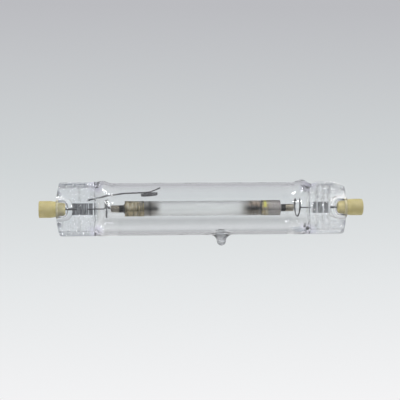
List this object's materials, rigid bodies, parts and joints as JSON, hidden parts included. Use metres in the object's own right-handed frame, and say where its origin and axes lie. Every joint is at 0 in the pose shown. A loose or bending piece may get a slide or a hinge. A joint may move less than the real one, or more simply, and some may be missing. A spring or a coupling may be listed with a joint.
{
  "type": "double-ended sodium vapour lamp",
  "caption": "Clear tubular discharge lamp with flat pinch seals, ceramic end caps, a ceramic arc tube and a getter ring.",
  "frame": {"origin": "on the lamp's axis, in the middle of the left cap's barrel, where the left lampholder grips it", "axes": "+X along the lamp from the getter end to the other end, -Z towards the exhaust tip; the broad faces of the pinch seals face -Y and +Y"},
  "size_m": [0.136, 0.022, 0.0276],
  "materials": {
    "quartz": "clear fused quartz, polished",
    "cap_ceramic": "cream steatite, satin",
    "contact_metal": "nickel plated",
    "cap_cement": "pale matt cement",
    "lead_molybdenum": "drawn grey wire",
    "foil_molybdenum": "etched foil",
    "niobium": "drawn, slightly gold",
    "alumina": "translucent sintered",
    "frit": "fired sealing glass",
    "shield_foil": "rolled foil",
    "tungsten": "dark grey",
    "braze": "cast",
    "getter_steel": "pressed strip",
    "getter_powder": "pressed powder",
    "sodium_amalgam": "frozen metal drop"
  },
  "bodies": {
    "root": {"outer_envelope": "quartz", "left_end_cap": "cap_ceramic", "right_end_cap": "cap_ceramic", "left_contact": "contact_metal", "right_contact": "contact_metal", "left_cement_ring": "cap_cement", "right_cement_ring": "cap_cement", "left_outer_lead": "lead_molybdenum", "right_outer_lead": "lead_molybdenum", "left_inner_lead": "lead_molybdenum", "right_inner_lead": "lead_molybdenum", "getter_support_wire": "lead_molybdenum", "left_seal_foil": "foil_molybdenum", "right_seal_foil": "foil_molybdenum", "left_niobium_tube": "niobium", "right_niobium_tube": "niobium", "arc_tube": "alumina", "left_end_plug": "alumina", "right_end_plug": "alumina", "left_frit_ring": "frit", "right_frit_ring": "frit", "left_heat_shield": "shield_foil", "right_heat_shield": "shield_foil", "left_electrode_rod": "tungsten", "right_electrode_rod": "tungsten", "left_electrode_coil": "tungsten", "right_electrode_coil": "tungsten", "left_braze_bead": "braze", "right_braze_bead": "braze", "getter_ring": "getter_steel", "getter_fill": "getter_powder", "amalgam_bead": "sodium_amalgam"}
  },
  "joints": []
}
